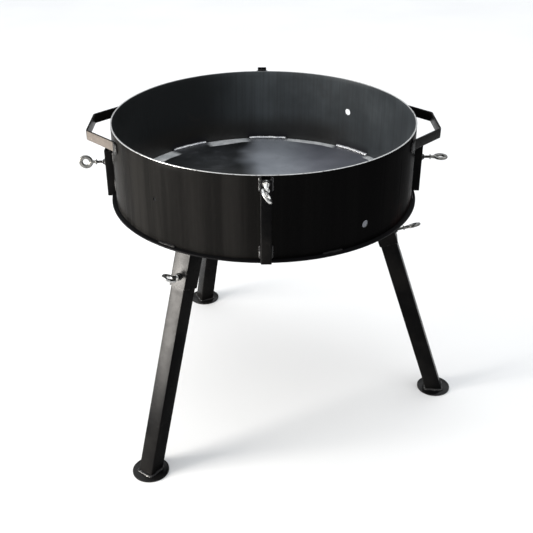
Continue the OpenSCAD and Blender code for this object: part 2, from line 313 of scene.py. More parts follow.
class Paint:
    """A short way to write node materials on object coordinates, in metres."""

    def __init__(self, name):
        self.material = bpy.data.materials.new(name)
        self.material.use_nodes = True
        self.tree = self.material.node_tree
        self.tree.nodes.clear()
        self.out = self.node("ShaderNodeOutputMaterial")
        self.shader = self.node("ShaderNodeBsdfPrincipled")
        self.link(self.shader.outputs["BSDF"], self.out.inputs["Surface"])
        self.place = self.node("ShaderNodeTexCoord").outputs["Object"]
        split = self.node("ShaderNodeSeparateXYZ")
        self.link(self.place, split.inputs[0])
        self.x, self.y, self.z = split.outputs

    def node(self, kind, **settings):
        n = self.tree.nodes.new(kind)
        for key, value in settings.items():
            setattr(n, key, value)
        return n

    def link(self, a, b):
        self.tree.links.new(a, b)

    def put(self, socket, value):
        if hasattr(value, "is_output") or isinstance(value, bpy.types.NodeSocket):
            self.link(value, socket)
        else:
            socket.default_value = value

    def math(self, op, a, b=0.0, c=0.0, clamp=False):
        n = self.node("ShaderNodeMath", operation=op, use_clamp=clamp)
        for socket, value in zip(n.inputs, (a, b, c)):
            self.put(socket, value)
        return n.outputs[0]

    def span(self, value, low, high, out_low=0.0, out_high=1.0):
        """Smooth step of value from low to high."""
        n = self.node("ShaderNodeMapRange", interpolation_type="SMOOTHSTEP")
        for socket, v in zip(n.inputs, (value, low, high, out_low, out_high)):
            self.put(socket, v)
        return n.outputs[0]

    def noise(self, scale, detail=3.0, rough=0.55, place=None, stretch=None, distortion=0.0):
        n = self.node("ShaderNodeTexNoise")
        where = place or self.place
        if stretch:
            m = self.node("ShaderNodeMapping")
            m.inputs["Scale"].default_value = stretch
            self.link(where, m.inputs["Vector"])
            where = m.outputs[0]
        self.link(where, n.inputs["Vector"])
        n.inputs["Scale"].default_value = scale
        n.inputs["Detail"].default_value = detail
        n.inputs["Roughness"].default_value = rough
        n.inputs["Distortion"].default_value = distortion
        return n.outputs[0]

    def specks(self, scale, size, place=None):
        """1 inside small scattered dots."""
        n = self.node("ShaderNodeTexVoronoi")
        self.link(place or self.place, n.inputs["Vector"])
        n.inputs["Scale"].default_value = scale
        return self.span(n.outputs["Distance"], size, size * 0.5)

    def mix(self, factor, a, b):
        n = self.node("ShaderNodeMix", data_type="RGBA")
        self.put(n.inputs[0], factor)
        for socket, value in ((n.inputs[6], a), (n.inputs[7], b)):
            self.put(socket, value if not isinstance(value, tuple) else (*value, 1.0))
        return n.outputs[2]

    def blend(self, factor, a, b):
        """Mix of two numbers."""
        n = self.node("ShaderNodeMix", data_type="FLOAT")
        for socket, value in zip(n.inputs[:1] + n.inputs[2:4], (factor, a, b)):
            self.put(socket, value)
        return n.outputs[0]

    def edges(self, radius, sharp=0.9):
        """1 along edges, from the difference between the true and the rounded normal."""
        soft = self.node("ShaderNodeBevel", samples=4)
        soft.inputs["Radius"].default_value = radius
        true = self.node("ShaderNodeNewGeometry").outputs["True Normal"]
        dot = self.node("ShaderNodeVectorMath", operation="DOT_PRODUCT")
        self.link(soft.outputs[0], dot.inputs[0])
        self.link(true, dot.inputs[1])
        return self.span(dot.outputs["Value"], 0.985, sharp)

    def facing(self, direction, low, high):
        """1 on faces whose normal points along a fixed direction of the object."""
        true = self.node("ShaderNodeNewGeometry").outputs["True Normal"]
        dot = self.node("ShaderNodeVectorMath", operation="DOT_PRODUCT")
        self.link(true, dot.inputs[0])
        dot.inputs[1].default_value = direction
        return self.span(dot.outputs["Value"], low, high)

    def bump(self, *layers):
        """Stacked bumps, each (height, distance in metres)."""
        normal = None
        for height, distance in layers:
            n = self.node("ShaderNodeBump")
            n.inputs["Distance"].default_value = distance
            n.inputs["Strength"].default_value = 1.0
            self.link(height, n.inputs["Height"])
            if normal:
                self.link(normal, n.inputs["Normal"])
            normal = n.outputs[0]
        self.link(normal, self.shader.inputs["Normal"])

    def set(self, **values):
        names = {
            "color": "Base Color", "roughness": "Roughness", "metallic": "Metallic",
            "level": "Specular IOR Level", "coat": "Coat Weight", "coat_roughness": "Coat Roughness",
        }
        for key, value in values.items():
            socket = self.shader.inputs[names[key]]
            self.put(socket, (*value, 1.0) if isinstance(value, tuple) else value)
        return self.material


def around(p):
    """Angle about the drum's axis and distance from it."""
    angle = p.math("ARCTAN2", p.y, p.x)
    radius = p.math("SQRT", p.math("ADD", p.math("POWER", p.x, 2.0), p.math("POWER", p.y, 2.0)))
    return angle, radius


def wrapped(p, angle, scale_angle, scale_z):
    """Coordinates that run around the drum and up it, for streaks."""
    join = p.node("ShaderNodeCombineXYZ")
    p.link(p.math("MULTIPLY", p.math("SINE", angle), scale_angle), join.inputs[0])
    p.link(p.math("MULTIPLY", p.math("COSINE", angle), scale_angle), join.inputs[1])
    p.link(p.math("MULTIPLY", p.z, scale_z), join.inputs[2])
    return join.outputs[0]


# Paint on tube and bar turned this way is given a stronger sheen, in place of a bright reflection.
SHEEN_FACING = (-0.80, -0.60, 0.06)
# The left handle's front arm faces this way and is given a beige painted reflection on its paint.
LIT_ARM_FACING = (-0.50, -0.866, 0.0)


def black_paint(name, base=(0.0032, 0.0032, 0.0034), dusty=(0.0085, 0.0081, 0.0078), gloss=0.26, wear=0.45,
                level=0.012, painted_sheen=0.07, arm_reflection=0.0):
    """Satin black paint on tube and bar: dust, scuffs, fine peel, thinly worn edges, a painted sheen and a
    painted reflection.
    """
    p = Paint(name)
    cloud = p.noise(9.0, 4.0, 0.6)
    grain = p.noise(420.0, 2.0, 0.5)
    scuff = p.noise(60.0, 5.0, 0.7, distortion=0.6)
    edge = p.math("MULTIPLY", p.edges(0.0011), p.span(p.noise(130.0, 4.0, 0.65), 0.42, 0.62), clamp=True)
    edge = p.math("MULTIPLY", edge, wear)
    # Painted sheen: faces turned to the front left reflect more.
    side = p.facing(SHEEN_FACING, 0.80, 0.90)
    color = p.mix(p.span(cloud, 0.38, 0.68), base, dusty)
    color = p.mix(p.span(scuff, 0.62, 0.78, 0.0, 0.35), color, (0.028, 0.027, 0.026))
    # Painted reflection: a patchy beige tone on the left handle's front arm.
    if arm_reflection:
        arm = p.math("MULTIPLY", p.facing(LIT_ARM_FACING, 0.90, 0.95), p.span(p.x, -0.20, -0.25))
        amount = p.math("MULTIPLY", arm, p.span(p.noise(70.0, 4.0, 0.6), 0.25, 0.6, arm_reflection * 0.8, arm_reflection))
        color = p.mix(amount, color, (0.132, 0.114, 0.099))
    color = p.mix(edge, color, (0.16, 0.155, 0.15))
    rough = p.span(p.noise(26.0, 4.0, 0.6), 0.3, 0.7, gloss - 0.03, gloss + 0.06)
    rough = p.math("ADD", rough, p.span(scuff, 0.6, 0.8, 0.0, 0.10))
    p.bump((grain, 0.00012), (p.noise(40.0, 2.0, 0.5), 0.0002))
    # The painted sheen fades towards the feet and is strongest from the leg sockets up.
    sheen = p.math("ADD", p.span(p.z, 0.06, 0.24, 0.25, 1.0), p.span(p.z, 0.378, 0.384, 0.0, 0.5))
    sheen = p.math("MULTIPLY", sheen, painted_sheen)
    return p.set(color=color, roughness=rough, metallic=edge, level=p.blend(side, level, sheen))


def shell_paint():
    """The drum's sheet: satin black outside, bare blue-grey mill skin inside, a bright rim edge.

    The light and shade that change along x and y are painted in, so they stay when the drum is turned.
    """
    p = Paint("drum_sheet")
    angle, radius = around(p)
    inside = p.span(radius, DRUM_R - 0.0012, DRUM_R - 0.0020)
    streak = p.noise(1.0, 4.0, 0.6, place=wrapped(p, angle, 9.0, 1.1))
    fine = p.noise(1.0, 3.0, 0.6, place=wrapped(p, angle, 52.0, 3.0))
    cloud = p.noise(5.0, 4.0, 0.6)
    outer = p.mix(p.span(streak, 0.34, 0.70), (0.0066, 0.0064, 0.0061), (0.0125, 0.0120, 0.0113))
    outer = p.mix(p.span(fine, 0.45, 0.75, 0.0, 0.18), outer, (0.0045, 0.0045, 0.0048))
    # Painted shade: the outside darkens towards +x.
    shade = p.span(p.x, -0.08, 0.10, 1.0, 0.15)
    outer = p.mix(shade, (0.0026, 0.0025, 0.0026), outer)
    low_right = p.math("MULTIPLY", p.span(p.x, 0.20, 0.27), p.span(p.z, 0.58, 0.52))
    rust = p.math("MULTIPLY", p.span(p.noise(11.0, 4.0, 0.6), 0.42, 0.62), low_right)
    outer = p.mix(p.math("MULTIPLY", rust, 0.35), outer, (0.020, 0.010, 0.009))
    inner = p.mix(p.span(cloud, 0.35, 0.68), (0.044, 0.050, 0.054), (0.080, 0.091, 0.098))
    inner = p.mix(p.span(fine, 0.42, 0.72, 0.0, 0.45), inner, (0.036, 0.038, 0.040))
    # Painted shade: the inside is darker towards -x, along a wavy edge.
    inner_shade = p.span(p.math("ADD", p.x, p.math("MULTIPLY", p.noise(6.0, 2.0, 0.5), 0.06)), -0.13, 0.06)
    inner = p.mix(inner_shade, (0.0105, 0.0120, 0.0125), inner)
    brown = p.span(p.noise(6.0, 5.0, 0.65, distortion=0.8), 0.58, 0.74, 0.0, 0.55)
    inner = p.mix(brown, inner, (0.034, 0.026, 0.021))
    # Painted shade: the inside wall darkens near the floor, except towards +x.
    low = p.math("ADD", p.z, p.math("MULTIPLY", p.noise(6.0, 3.0, 0.6), 0.03))
    floor_corner_shade = p.math("MULTIPLY", p.span(low, FLOOR_Z + 0.085, FLOOR_Z + 0.040), p.span(p.x, 0.24, 0.15))
    inner = p.mix(p.math("MULTIPLY", floor_corner_shade, 0.75), inner, (0.017, 0.015, 0.013))
    burnt = p.math("MULTIPLY", p.span(p.z, FLOOR_Z + 0.026, FLOOR_Z + 0.005), stitch_mask(p, angle, 1.0))
    inner = p.mix(p.math("MULTIPLY", burnt, 0.8), inner, (0.011, 0.011, 0.015))
    color = p.mix(inside, outer, inner)
    rim = p.span(p.z, RIM_Z - 0.0011, RIM_Z - 0.0004)
    rim = p.math("MULTIPLY", rim, p.span(p.noise(70.0, 4.0, 0.7), 0.30, 0.46))
    # Painted shade: the bare rim edge is dimmed towards the back.
    shaded = p.span(p.y, 0.27, 0.12)
    rim = p.math("MULTIPLY", rim, p.math("ADD", p.math("MULTIPLY", shaded, 0.75), 0.2))
    chips = p.math("MULTIPLY", p.specks(85.0, 0.07), p.span(p.noise(7.0, 2.0, 0.5), 0.62, 0.70))
    bare = p.math("MAXIMUM", rim, p.math("MULTIPLY", chips, 0.12))
    color = p.mix(bare, color, (0.62, 0.62, 0.61))
    rough = p.blend(inside, p.span(streak, 0.3, 0.7, 0.22, 0.34), p.span(cloud, 0.3, 0.7, 0.36, 0.54))
    rough = p.blend(bare, rough, 0.34)
    p.bump((p.noise(430.0, 2.0, 0.5), 0.00010), (p.noise(13.0, 2.0, 0.5), 0.0011), (fine, 0.0003))
    # Painted shade: the outside reflects less towards +x.
    outside_shade_level = p.span(p.x, 0.10, 0.24, 0.005, 0.0014)
    return p.set(color=color, roughness=rough, metallic=bare, level=p.blend(inside, outside_shade_level, 0.40))


def stitch_mask(p, angle, blur):
    """1 beside the stitch welds inside, with soft ends blur degrees long."""
    half = math.radians(STITCH_TURN / 2)
    soft = math.radians(blur)
    total = 0.0
    for start in STITCHES:
        middle = math.radians(start + STITCH_TURN / 2)
        away = p.math("ARCCOSINE", p.math("COSINE", p.math("SUBTRACT", angle, middle)))
        total = p.math("MAXIMUM", total, p.span(away, half + soft, half - soft))
    return total


def plate_paint():
    """The floor plate: thin blue-grey skin with dust and scratches, pale near the wall.

    Its dark left half and pale right half are painted in, in place of a reflection.
    """
    p = Paint("plate_sheet")
    angle, radius = around(p)
    cloud = p.noise(4.5, 5.0, 0.6, distortion=0.4)
    swirl = p.noise(16.0, 5.0, 0.65, distortion=1.2)
    # Painted reflection: the plate is dark towards -x, pale in the middle and dimmer towards +x.
    across = p.math("ADD", p.x, p.math("MULTIPLY", p.math("SUBTRACT", p.noise(5.0, 3.0, 0.6), 0.5), 0.12))
    dark = p.mix(p.span(cloud, 0.34, 0.68), (0.005, 0.006, 0.006), (0.016, 0.018, 0.020))
    pale = p.mix(p.span(cloud, 0.34, 0.68), (0.165, 0.178, 0.198), (0.250, 0.265, 0.290))
    side = p.mix(p.span(cloud, 0.34, 0.68), (0.075, 0.080, 0.095), (0.125, 0.130, 0.150))
    color = p.mix(p.span(across, -0.060, -0.005), dark, pale)
    color = p.mix(p.span(across, 0.03, 0.13), color, side)
    color = p.mix(p.span(swirl, 0.52, 0.74, 0.0, 0.35), color, (0.085, 0.090, 0.102))
    scratch = p.noise(34.0, 3.0, 0.6, stretch=(0.35, 6.0, 1.0))
    color = p.mix(p.span(scratch, 0.60, 0.72, 0.0, 0.3), color, (0.12, 0.125, 0.135))
    dust = p.math("MULTIPLY", p.specks(150.0, 0.13), p.span(p.noise(12.0, 2.0, 0.5), 0.50, 0.66))
    color = p.mix(p.math("MULTIPLY", dust, 0.8), color, (0.42, 0.41, 0.40))
    wander = p.math("MULTIPLY", p.math("SUBTRACT", p.noise(7.0, 3.0, 0.6), 0.5), 0.016)
    edge = p.math("ADD", radius, wander)
    under = stitch_mask(p, angle, 1.6)
    start = p.span(p.x, -0.10, 0.06, 0.2760, 0.2880)
    ring = p.math("SUBTRACT", edge, start)
    ring = p.math("MULTIPLY", p.span(ring, 0.0, 0.0035), p.math("SUBTRACT", 1.0, under))
    skin = p.mix(p.span(p.noise(48.0, 4.0, 0.6), 0.35, 0.7), (0.48, 0.50, 0.51), (0.72, 0.73, 0.73))
    color = p.mix(ring, color, skin)
    heat = p.math("MULTIPLY", under, p.span(edge, 0.290, 0.300))
    color = p.mix(p.math("MULTIPLY", heat, 0.6), color, (0.030, 0.032, 0.042))
    top = p.span(p.z, UNDER_Z + 0.0020, UNDER_Z + 0.0026)
    inside = p.math("MULTIPLY", top, p.span(radius, DRUM_R - 0.0012, DRUM_R - 0.0024))
    color = p.mix(inside, (0.0060, 0.0060, 0.0064), color)
    rough = p.span(cloud, 0.3, 0.7, 0.30, 0.46)
    rough = p.math("ADD", rough, p.math("MULTIPLY", dust, 0.3))
    p.bump((p.noise(360.0, 2.0, 0.5), 0.00010), (p.noise(9.0, 2.0, 0.5), 0.0016), (scratch, 0.00012))
    return p.set(color=color, roughness=rough, level=p.blend(inside, 0.03, 0.5))


def zinc_plate(name, low, high, dull):
    """Zinc plating: grey with faintly warm patches, fine grain and dull scuffs."""
    p = Paint(name)
    cloud = p.noise(120.0, 3.0, 0.6)
    color = p.mix(p.span(cloud, 0.35, 0.65), low, high)
    color = p.mix(p.span(p.noise(260.0, 4.0, 0.7), 0.60, 0.75, 0.0, 0.6), color, dull)
    rough = p.span(p.noise(190.0, 4.0, 0.6), 0.3, 0.7, 0.17, 0.36)
    p.bump((p.noise(900.0, 2.0, 0.5), 0.00006), (p.noise(150.0, 3.0, 0.5), 0.0002))
    return p.set(color=color, roughness=rough, metallic=1.0)


def socket_nut_metal():
    """The front nut is bare zinc, and paint covers the other three."""
    p = Paint("socket_nut")
    front = p.span(p.y, -0.30, -0.32)
    patchy = p.span(p.noise(150.0, 4.0, 0.6), 0.40, 0.60, 0.0, 0.5)
    worn = p.math("MULTIPLY", p.edges(0.0008), patchy, clamp=True)
    painted = p.mix(worn, (0.006, 0.006, 0.0062), (0.16, 0.155, 0.15))
    zinc = p.mix(p.span(p.noise(120.0, 3.0, 0.6), 0.35, 0.65), (0.45, 0.45, 0.45), (0.70, 0.69, 0.66))
    rough = p.span(p.noise(190.0, 4.0, 0.6), 0.3, 0.7, 0.20, 0.38)
    p.bump((p.noise(700.0, 2.0, 0.5), 0.00006), (p.noise(150.0, 3.0, 0.5), 0.0002))
    metal = p.math("MAXIMUM", front, worn)
    return p.set(color=p.mix(front, painted, zinc), roughness=rough, metallic=metal, level=0.15)


def bare_weld():
    """Unpainted weld metal with dark oxide and heat tint."""
    p = Paint("bare_weld")
    tint = p.noise(75.0, 4.0, 0.6)
    color = p.mix(p.span(tint, 0.36, 0.66), (0.60, 0.60, 0.60), (0.38, 0.385, 0.41))
    oxide = p.span(p.noise(240.0, 4.0, 0.7), 0.56, 0.72)
    color = p.mix(p.math("MULTIPLY", oxide, 0.8), color, (0.045, 0.045, 0.055))
    metal = p.span(oxide, 0.0, 1.0, 0.95, 0.25)
    rough = p.span(p.noise(300.0, 3.0, 0.6), 0.3, 0.7, 0.20, 0.42)
    p.bump((p.noise(700.0, 3.0, 0.6), 0.00014),)
    return p.set(color=color, roughness=rough, metallic=metal)


def painted_weld(name, bare, level=0.3):
    """Black paint over a weld bead, glossier than the sheet, with some bare spots."""
    p = Paint(name)
    worn = p.span(p.noise(210.0, 4.0, 0.65), 0.60, 0.70, 0.0, bare)
    color = p.mix(p.span(p.noise(60.0, 3.0, 0.6), 0.4, 0.7), (0.010, 0.010, 0.0105), (0.024, 0.023, 0.022))
    color = p.mix(worn, color, (0.42, 0.42, 0.41))
    rough = p.span(p.noise(150.0, 3.0, 0.6), 0.3, 0.7, 0.16, 0.32)
    p.bump((p.noise(520.0, 3.0, 0.6), 0.00022),)
    return p.set(color=color, roughness=rough, metallic=worn, level=level)


PAINT = black_paint("black_paint")
FOOT_PAINT = black_paint("foot_paint", gloss=0.20, wear=0.7, level=0.12)
BAR_PAINT = black_paint("bar_paint", (0.0045, 0.0044, 0.0042), (0.0130, 0.0120, 0.0112), wear=0.6,
                        level=0.03, arm_reflection=0.85)
SHELL = shell_paint()
PLATE = plate_paint()
ZINC = zinc_plate("bright_zinc", (0.45, 0.45, 0.45), (0.70, 0.69, 0.66), (0.22, 0.22, 0.22))
DULL_ZINC = zinc_plate("dull_zinc", (0.13, 0.13, 0.125), (0.24, 0.235, 0.22), (0.05, 0.05, 0.05))
NUT = socket_nut_metal()
BARE = bare_weld()
WELD = painted_weld("painted_weld", 0.8)
DULL_WELD = painted_weld("dull_weld", 0.06, 0.05)
BRIGHT_WELD = painted_weld("rubbed_weld", 1.0)

# ---------------------------------------------------------------- drum shell and floor plate


def shell_wobble(v):
    """Rolled sheet is never quite round: the wall wanders inwards by up to 0.8 mm, both faces alike."""
    a = math.atan2(v.y, v.x)
    r = math.hypot(v.x, v.y)
    drift = 0.0004 * noise.noise(Vector((math.cos(a) * 2.2, math.sin(a) * 2.2, v.z * 5)))
    drift = min(drift, 0.0004) - 0.0004
    grow = (r + drift) / r if r > 0.2 else 1
    return Vector((v.x * grow, v.y * grow, v.z))


def shell_profile():
    e = 0.0006
    ease = ((0.0, -e), (e * 0.3, -e * 0.3), (e, 0.0))
    out = [(DRUM_R - dx, RIM_Z + dz) for dx, dz in ease]
    out += [(INNER_R + dx, RIM_Z + dz) for dx, dz in reversed(ease)]
    steps = 14
    tall = RIM_Z - FLOOR_Z
    out += [(INNER_R, RIM_Z - tall * k / steps) for k in range(1, steps)]
    out += [(INNER_R + dx, FLOOR_Z - dz) for dx, dz in ease]
    out += [(DRUM_R - dx, FLOOR_Z - dz) for dx, dz in reversed(ease)]
    out += [(DRUM_R, FLOOR_Z + tall * k / steps) for k in range(1, steps)]
    return out


def cutter(place, radius, length):
    """A round bar along a frame's X axis, as a mesh object that never shows."""
    mesh = bpy.data.meshes.new("cut")
    bm = bmesh.new()
    bmesh.ops.create_cone(bm, cap_ends=True, segments=40, radius1=radius, radius2=radius, depth=length)
    bm.transform(place @ Matrix.Rotation(math.pi / 2, 4, "Y"))
    bm.to_mesh(mesh)
    bm.free()
    return add_object("cut", mesh)


def wall_holes():
    """Places of the round holes, from the record's bore mounts."""
    return [m for m in frame["record"]["mounts"] if m["name"].startswith("wall_hole")]


def make_shell():
    verts, faces = lathe(shell_profile(), 288, shell_wobble)
    shell = piece("drum_sheet", verts, faces, "drum", SHELL)
    cutters = []
    for m in wall_holes():
        x, y, z = m["pos_m"]
        place = spin(math.atan2(y, x)) @ Matrix.Translation((DRUM_R - SHEET / 2, 0, z))
        cutters.append(cutter(place, m["dims"]["r_mm"] / 1000, 0.03))
    cut_away(shell, cutters)
    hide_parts("drum_shell")


def plate_warp(v):
    """Welding pulls a floor plate into shallow waves, and both faces move alike."""
    r = max(math.hypot(v.x, v.y), 1e-6)
    fade = min(max((0.296 - r) / 0.12, 0.0), 1.0)
    wave = 0.5 + 0.5 * noise.noise(Vector((v.x * 5.2, v.y * 5.2, 4.0)))
    return Vector((v.x, v.y, v.z + 0.0016 * wave * fade))


def cut_away(obj, cutters):
    """Takes the cutters out of a piece and drops them."""
    for other in cutters:
        cut = obj.modifiers.new("cut", "BOOLEAN")
        cut.object = other
        cut.operation = "DIFFERENCE"
        cut.solver = "EXACT"
    material = obj.data.materials[0]
    done = bake(obj)
    for other in cutters:
        bpy.data.objects.remove(other)
    finish_mesh(done, 30.0)
    done.materials.clear()
    done.materials.append(material)


def block(low, high, place):
    """A box between two corners, as a mesh object that never shows."""
    mesh = bpy.data.meshes.new("cut")
    bm = bmesh.new()
    bmesh.ops.create_cube(bm, size=1.0)
    low, high = Vector(low), Vector(high)
    for v in bm.verts:
        v.co = place @ Vector([low[i] + (high[i] - low[i]) * (v.co[i] + 0.5) for i in range(3)])
    bm.to_mesh(mesh)
    bm.free()
    return add_object("cut", mesh)


def make_plate():
    e = 0.0005
    rings = 20
    inner = [(INNER_R * k / rings, FLOOR_Z) for k in range(rings + 1)]
    edge = [(PLATE_R - e, FLOOR_Z), (PLATE_R - e * 0.3, FLOOR_Z - e * 0.3), (PLATE_R, FLOOR_Z - e)]
    edge += [(PLATE_R, UNDER_Z + e), (PLATE_R - e * 0.3, UNDER_Z + e * 0.3), (PLATE_R - e, UNDER_Z)]
    under = [(r, UNDER_Z) for r, _ in reversed(inner)]
    verts, faces = lathe(inner + edge + under, 288, plate_warp)
    plate = piece("floor_sheet", verts, faces, "drum", PLATE, 30.0)
    half = SOCKET_W / 2 + 0.0005
    low, high = (-0.0005, -half, UNDER_Z - 0.01), (0.05, half, FLOOR_Z + 0.01)
    cut_away(plate, [block(low, high, socket_frame(name)) for name in ("right", "left")])
    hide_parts("floor_plate")


make_shell()
make_plate()

# ---------------------------------------------------------------- tubes


def level_cut(place, z):
    """Height along a leaning tube's axis at which the line through (x, y) meets the level z."""
    axis = place.to_3x3() @ Vector((0, 0, 1))

    def at(x, y):
        return (z - (place @ Vector((x, y, 0))).z) / axis.z

    return at


def screw_hole(name):
    """The clearance hole for a screw in its tube's outer wall, as a cutter."""
    return cutter(screw_frames()[name] @ Matrix.Translation((-WALL / 2, 0, 0)), SCREW_HOLE_R, 3 * WALL)


def make_tubes():
    for k, name in enumerate(SOCKET_AZ):
        node = "socket_" + name
        low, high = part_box(node)
        place = socket_frame(name) @ Matrix.Translation((SOCKET_W / 2, 0, 0))
        obj = tube("post_socket_" + name, place, SOCKET_W, lambda x, y: low.z, lambda x, y: high.z,
                   "drum", PAINT, 0.0019, k * 3.1)
        cut_away(obj, [screw_hole(name)])
        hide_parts(node)
    for k, name in enumerate(LEG_AZ):
        place = leg_frame(name)
        node = "leg_socket_" + name
        mouth = LEG_MOUTH_Z / math.cos(TILT)
        obj = tube("leg_sleeve_" + name, place, LEG_SOCKET_W, lambda x, y: mouth, level_cut(place, UNDER_Z),
                   "drum", PAINT, 0.0026, k * 5.3)
        cut_away(obj, [screw_hole("leg_" + name)])
        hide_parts(node)
        node = "leg_tube_" + name
        top = (UNDER_Z - LEG_TOP_GAP) / math.cos(TILT) - LEG_W / 2 * math.tan(TILT)
        obj = tube("leg_" + name, place, LEG_W, level_cut(place, FOOT_T), lambda x, y: top,
                   "leg_" + name, PAINT, 0.0026, k * 7.7)
        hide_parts(node)


def make_feet():
    for name in LEG_AZ:
        low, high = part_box("foot_plate_" + name)
        middle = (low + high) / 2
        r, e = (high.x - low.x) / 2, 0.0005
        profile = [(0, low.z), (r * 0.5, low.z), (r - e, low.z), (r - e * 0.3, low.z + e * 0.3)]
        profile += [(r, low.z + e), (r, high.z - e), (r - e * 0.3, high.z - e * 0.3)]
        profile += [(r - e, high.z), (r * 0.6, high.z), (0, high.z)]
        verts, faces = lathe(profile, 96)
        verts = [v + Vector((middle.x, middle.y, 0)) for v in verts]
        obj = piece("foot_disc_" + name, verts, faces, "leg_" + name, FOOT_PAINT, 30.0)
        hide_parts("foot_plate_" + name)


make_tubes()
make_feet()

# ---------------------------------------------------------------- handles


def handle_path():
    """The flat bar's outer face seen from above, from the grip's middle to the tab's end."""
    bend, half, tab = 0.006, 0.045, 0.013
    leg_turn, tab_turn = math.radians(44), math.radians(21)
    bend_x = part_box("handle_right")[1].x - BAR_T - bend
    bend_sum = 2 * bend + BAR_T
    reach = bend_x * math.cos(tab_turn) + half * math.sin(tab_turn)
    gap = reach + bend_sum * math.cos(leg_turn - tab_turn) - (DRUM_R + BAR_T + bend)
    arm = gap / math.sin(leg_turn - tab_turn)
    # Each entry is the middle of the bar's thickness and its outward normal.
    path = []

    def add(x, y, angle):
        path.append((Vector((x, y, 0)), Vector((math.cos(angle), math.sin(angle), 0))))

    mid = bend + BAR_T / 2
    for k in range(6):
        add(bend_x + mid, half * k / 5, 0.0)
    for k in range(1, 9):
        a = leg_turn * k / 8
        add(bend_x + mid * math.cos(a), half + mid * math.sin(a), a)
    c, s = math.cos(leg_turn), math.sin(leg_turn)
    start = path[-1][0].copy()
    for k in range(1, 6):
        p = start + Vector((-s, c, 0)) * (arm * k / 5)
        add(p.x, p.y, leg_turn)
    centre = Vector((bend_x, half, 0)) + Vector((c, s, 0)) * bend_sum + Vector((-s, c, 0)) * arm
    for k in range(1, 7):
        a = leg_turn - (leg_turn - tab_turn) * k / 6
        add(centre.x - mid * math.cos(a), centre.y - mid * math.sin(a), a)
    start = path[-1][0].copy()
    for k in range(1, 4):
        p = start + Vector((-math.sin(tab_turn), math.cos(tab_turn), 0)) * (tab * k / 3)
        add(p.x, p.y, tab_turn)
    return path


def make_handles():
    half = handle_path()
    mirrored = [(Vector((p.x, -p.y, 0)), Vector((n.x, -n.y, 0))) for p, n in reversed(half[1:])]
    path = mirrored + half
    low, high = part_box("handle_right")
    mid_z, tall = (low.z + high.z) / 2, high.z - low.z
    corner, e = 0.0009, 0.0004
    section = rounded_box(BAR_T, tall, corner, 3)
    eased = rounded_box(BAR_T - 2 * e, tall - 2 * e, 0.0006, 3)
    for side, name in ((1, "right"), (-1, "left")):
        verts = []
        for i, (p, n) in enumerate(path):
            end = i in (0, len(path) - 1)
            for a, b in eased if end else section:
                q = p + n * a
                verts.append(Vector((q.x * side, q.y, mid_z + b)))
        cols = len(section)
        faces = grid_faces(len(path), cols, False, True)
        faces.append(tuple(range(cols)))
        faces.append(tuple(range((len(path) - 1) * cols, len(path) * cols)))
        obj = piece("carry_handle_" + name, verts, faces, "drum", BAR_PAINT, 40.0)
        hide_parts("handle_" + name)


make_handles()

# ---------------------------------------------------------------- welds


def socket_beads():
    heap = Heap()
    length, ease = 0.027, 0.0025
    for k, name in enumerate(SOCKET_AZ):
        low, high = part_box("socket_" + name)
        place = socket_frame(name)
        for side in (-1, 1):
            for end, start in enumerate((max(low.z, FLOOR_Z) + ease, high.z - length - ease)):
                rng = random.Random(100 + k * 10 + side + end * 40)
                y = side * (SOCKET_W / 2 + 0.0009)
                path = [place @ Vector((0.0009, y, start + length * j / 8)) for j in range(9)]
                crown = place.to_3x3() @ Vector((1, side, 0)).normalized()
                heap.add(bead(path, 0.0056, 0.0026, rng, up=crown))
    return heap


def handle_beads():
    """Each tab is welded along its far end and along its lower edge."""
    heap = Heap()
    half = handle_path()
    tip, out = half[-1]
    along = (tip - half[-4][0]).normalized()
    low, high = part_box("handle_right")
    first_z, tall = low.z + 0.0012, high.z - low.z - 0.0024
    inset, under, run = 0.0012, 0.0009, 0.006
    for side in (-1, 1):
        for end in (-1, 1):
            rng = random.Random(300 + side * 3 + end)

            def turn(v):
                return Vector((v.x * side, v.y * end, v.z))

            start = tip - out * inset + along * 0.0008
            path = [turn(start + Vector((0, 0, first_z + tall * j / 8))) for j in range(9)]
            heap.add(bead(path, 0.0056, 0.0027, rng, up=turn(out + along)))
            start = tip - along * 0.003 - out * inset + Vector((0, 0, low.z - under))
            path = [turn(start - along * (run * j / 6)) for j in range(7)]
            heap.add(bead(path, 0.0054, 0.0026, rng, up=turn(out + Vector((0, 0, -1)))))
    return heap


def fillet_path(name, w, z, below):
    """Rounded outline where a leaning square tube meets the level z, with crowns outwards."""
    mid = FOOT_R - z * math.tan(TILT)
    half_x, half_y, r = w / 2 / math.cos(TILT), w / 2, 0.004
    sign, out = (-1, 0.0014) if below else (1, 0.0008)
    points, crowns = [], []
    for k, (cx, cy) in enumerate(((1, 1), (-1, 1), (-1, -1), (1, -1))):
        for j in range(6):
            a = math.pi / 2 * (k + j / 5)
            x = mid + cx * (half_x + out - r) + r * math.cos(a)
            y = cy * (half_y + out - r) + r * math.sin(a)
            points.append(spin(LEG_AZ[name]) @ Vector((x, y, z + sign * 0.0006)))
            crowns.append(spin(LEG_AZ[name]).to_3x3() @ Vector((math.cos(a), math.sin(a), sign)))
    return points, crowns


def leg_socket_beads():
    heap = Heap()
    for k, name in enumerate(LEG_AZ):
        points, crowns = fillet_path(name, LEG_SOCKET_W, UNDER_Z, True)
        heap.add(bead(points, 0.0052, 0.0029, random.Random(400 + k), closed=True, up=crowns))
    return heap


def foot_beads(k, name):
    heap = Heap()
    points, crowns = fillet_path(name, LEG_W, FOOT_T, False)
    heap.add(bead(points, 0.0062, 0.0028, random.Random(420 + k), closed=True, up=crowns))
    return heap


